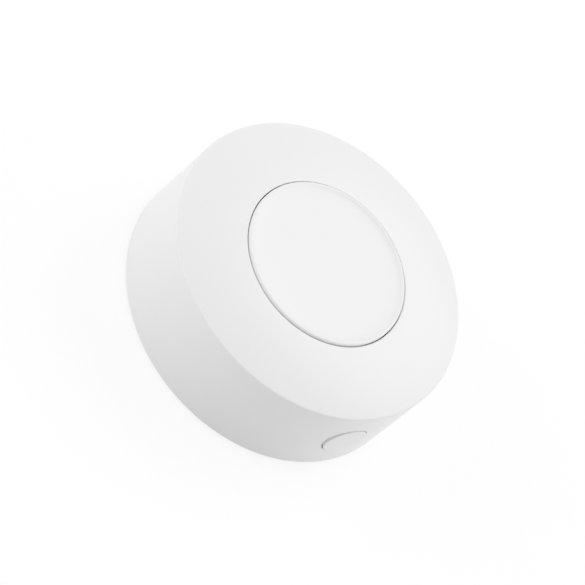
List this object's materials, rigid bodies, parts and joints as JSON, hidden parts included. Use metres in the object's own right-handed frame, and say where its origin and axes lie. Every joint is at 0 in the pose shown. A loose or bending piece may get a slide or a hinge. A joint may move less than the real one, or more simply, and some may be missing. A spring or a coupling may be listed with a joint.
{
  "type": "smart button",
  "caption": "Round white puck with a domed front ring, a wide dished press cap, a small round key in its side wall and a twist-off rear cover over a coin cell.",
  "frame": {"origin": "centre of the flat rear face of the rear cover", "axes": "+Z out of the press cap along the housing's axis, -Y out through the side key"},
  "size_m": [0.05, 0.0501, 0.0182],
  "materials": {
    "white_shell": "white moulded plastic with a very fine matte texture",
    "board": "green solder mask over glass fibre board",
    "steel": "plain stamped sheet steel",
    "black_plastic": "black moulded plastic",
    "grey_plastic": "grey moulded plastic",
    "gold_track": "gold plated copper track",
    "ceramic": "unglazed tan ceramic",
    "lens": "clear moulded resin"
  },
  "bodies": {
    "housing": {"front_housing": "white_shell", "circuit_board": "board", "radio_board": "board", "board_screws": "steel", "positive_contact": "steel", "negative_contact": "steel", "cell_can": "steel", "cell_lid": "steel", "main_switch_frame": "steel", "main_switch_dome": "steel", "main_switch_terminals": "steel", "side_switch_frame": "steel", "side_switch_dome": "steel", "side_switch_terminals": "steel", "radio_shield": "steel", "battery_holder": "black_plastic", "cell_gasket": "black_plastic", "main_switch_base": "black_plastic", "side_switch_base": "black_plastic", "radio_chip": "black_plastic", "resistors": "black_plastic", "cell_core": "grey_plastic", "radio_antenna": "gold_track", "capacitors": "ceramic", "status_led": "lens"},
    "cap": {"press_cap": "white_shell"},
    "main_plunger": {"main_switch_plunger": "grey_plastic"},
    "key": {"side_key": "white_shell"},
    "side_plunger": {"side_switch_plunger": "grey_plastic"},
    "cover": {"rear_cover": "white_shell"}
  },
  "joints": [
    {"name": "cap_press", "type": "slide", "parent": "housing", "child": "cap", "axis": [0, 0, -1], "range_m": [0, 0.0005], "stiffness_N_per_m": 150, "springref_m": -0.006},
    {"name": "main_plunger_press", "type": "slide", "parent": "housing", "child": "main_plunger", "axis": [0, 0, -1], "range_m": [0, 0.0005], "deforming": ["main_switch_dome"]},
    {"name": "side_key_press", "type": "slide", "parent": "housing", "child": "key", "axis": [0, 1, 0], "range_m": [0, 0.00035], "stiffness_N_per_m": 30, "springref_m": -0.01},
    {"name": "side_plunger_press", "type": "slide", "parent": "housing", "child": "side_plunger", "axis": [0, 1, 0], "range_m": [0, 0.00035], "deforming": ["side_switch_dome"]},
    {"name": "cover_twist", "type": "hinge", "parent": "housing", "child": "cover", "pos_m": [0, 0, 0], "axis": [0, 0, -1], "range_deg": [0, 36]}
  ],
  "couplings": [
    {"joint": "main_plunger_press", "follows": "cap_press", "ratio": 1},
    {"joint": "side_plunger_press", "follows": "side_key_press", "ratio": 1}
  ]
}
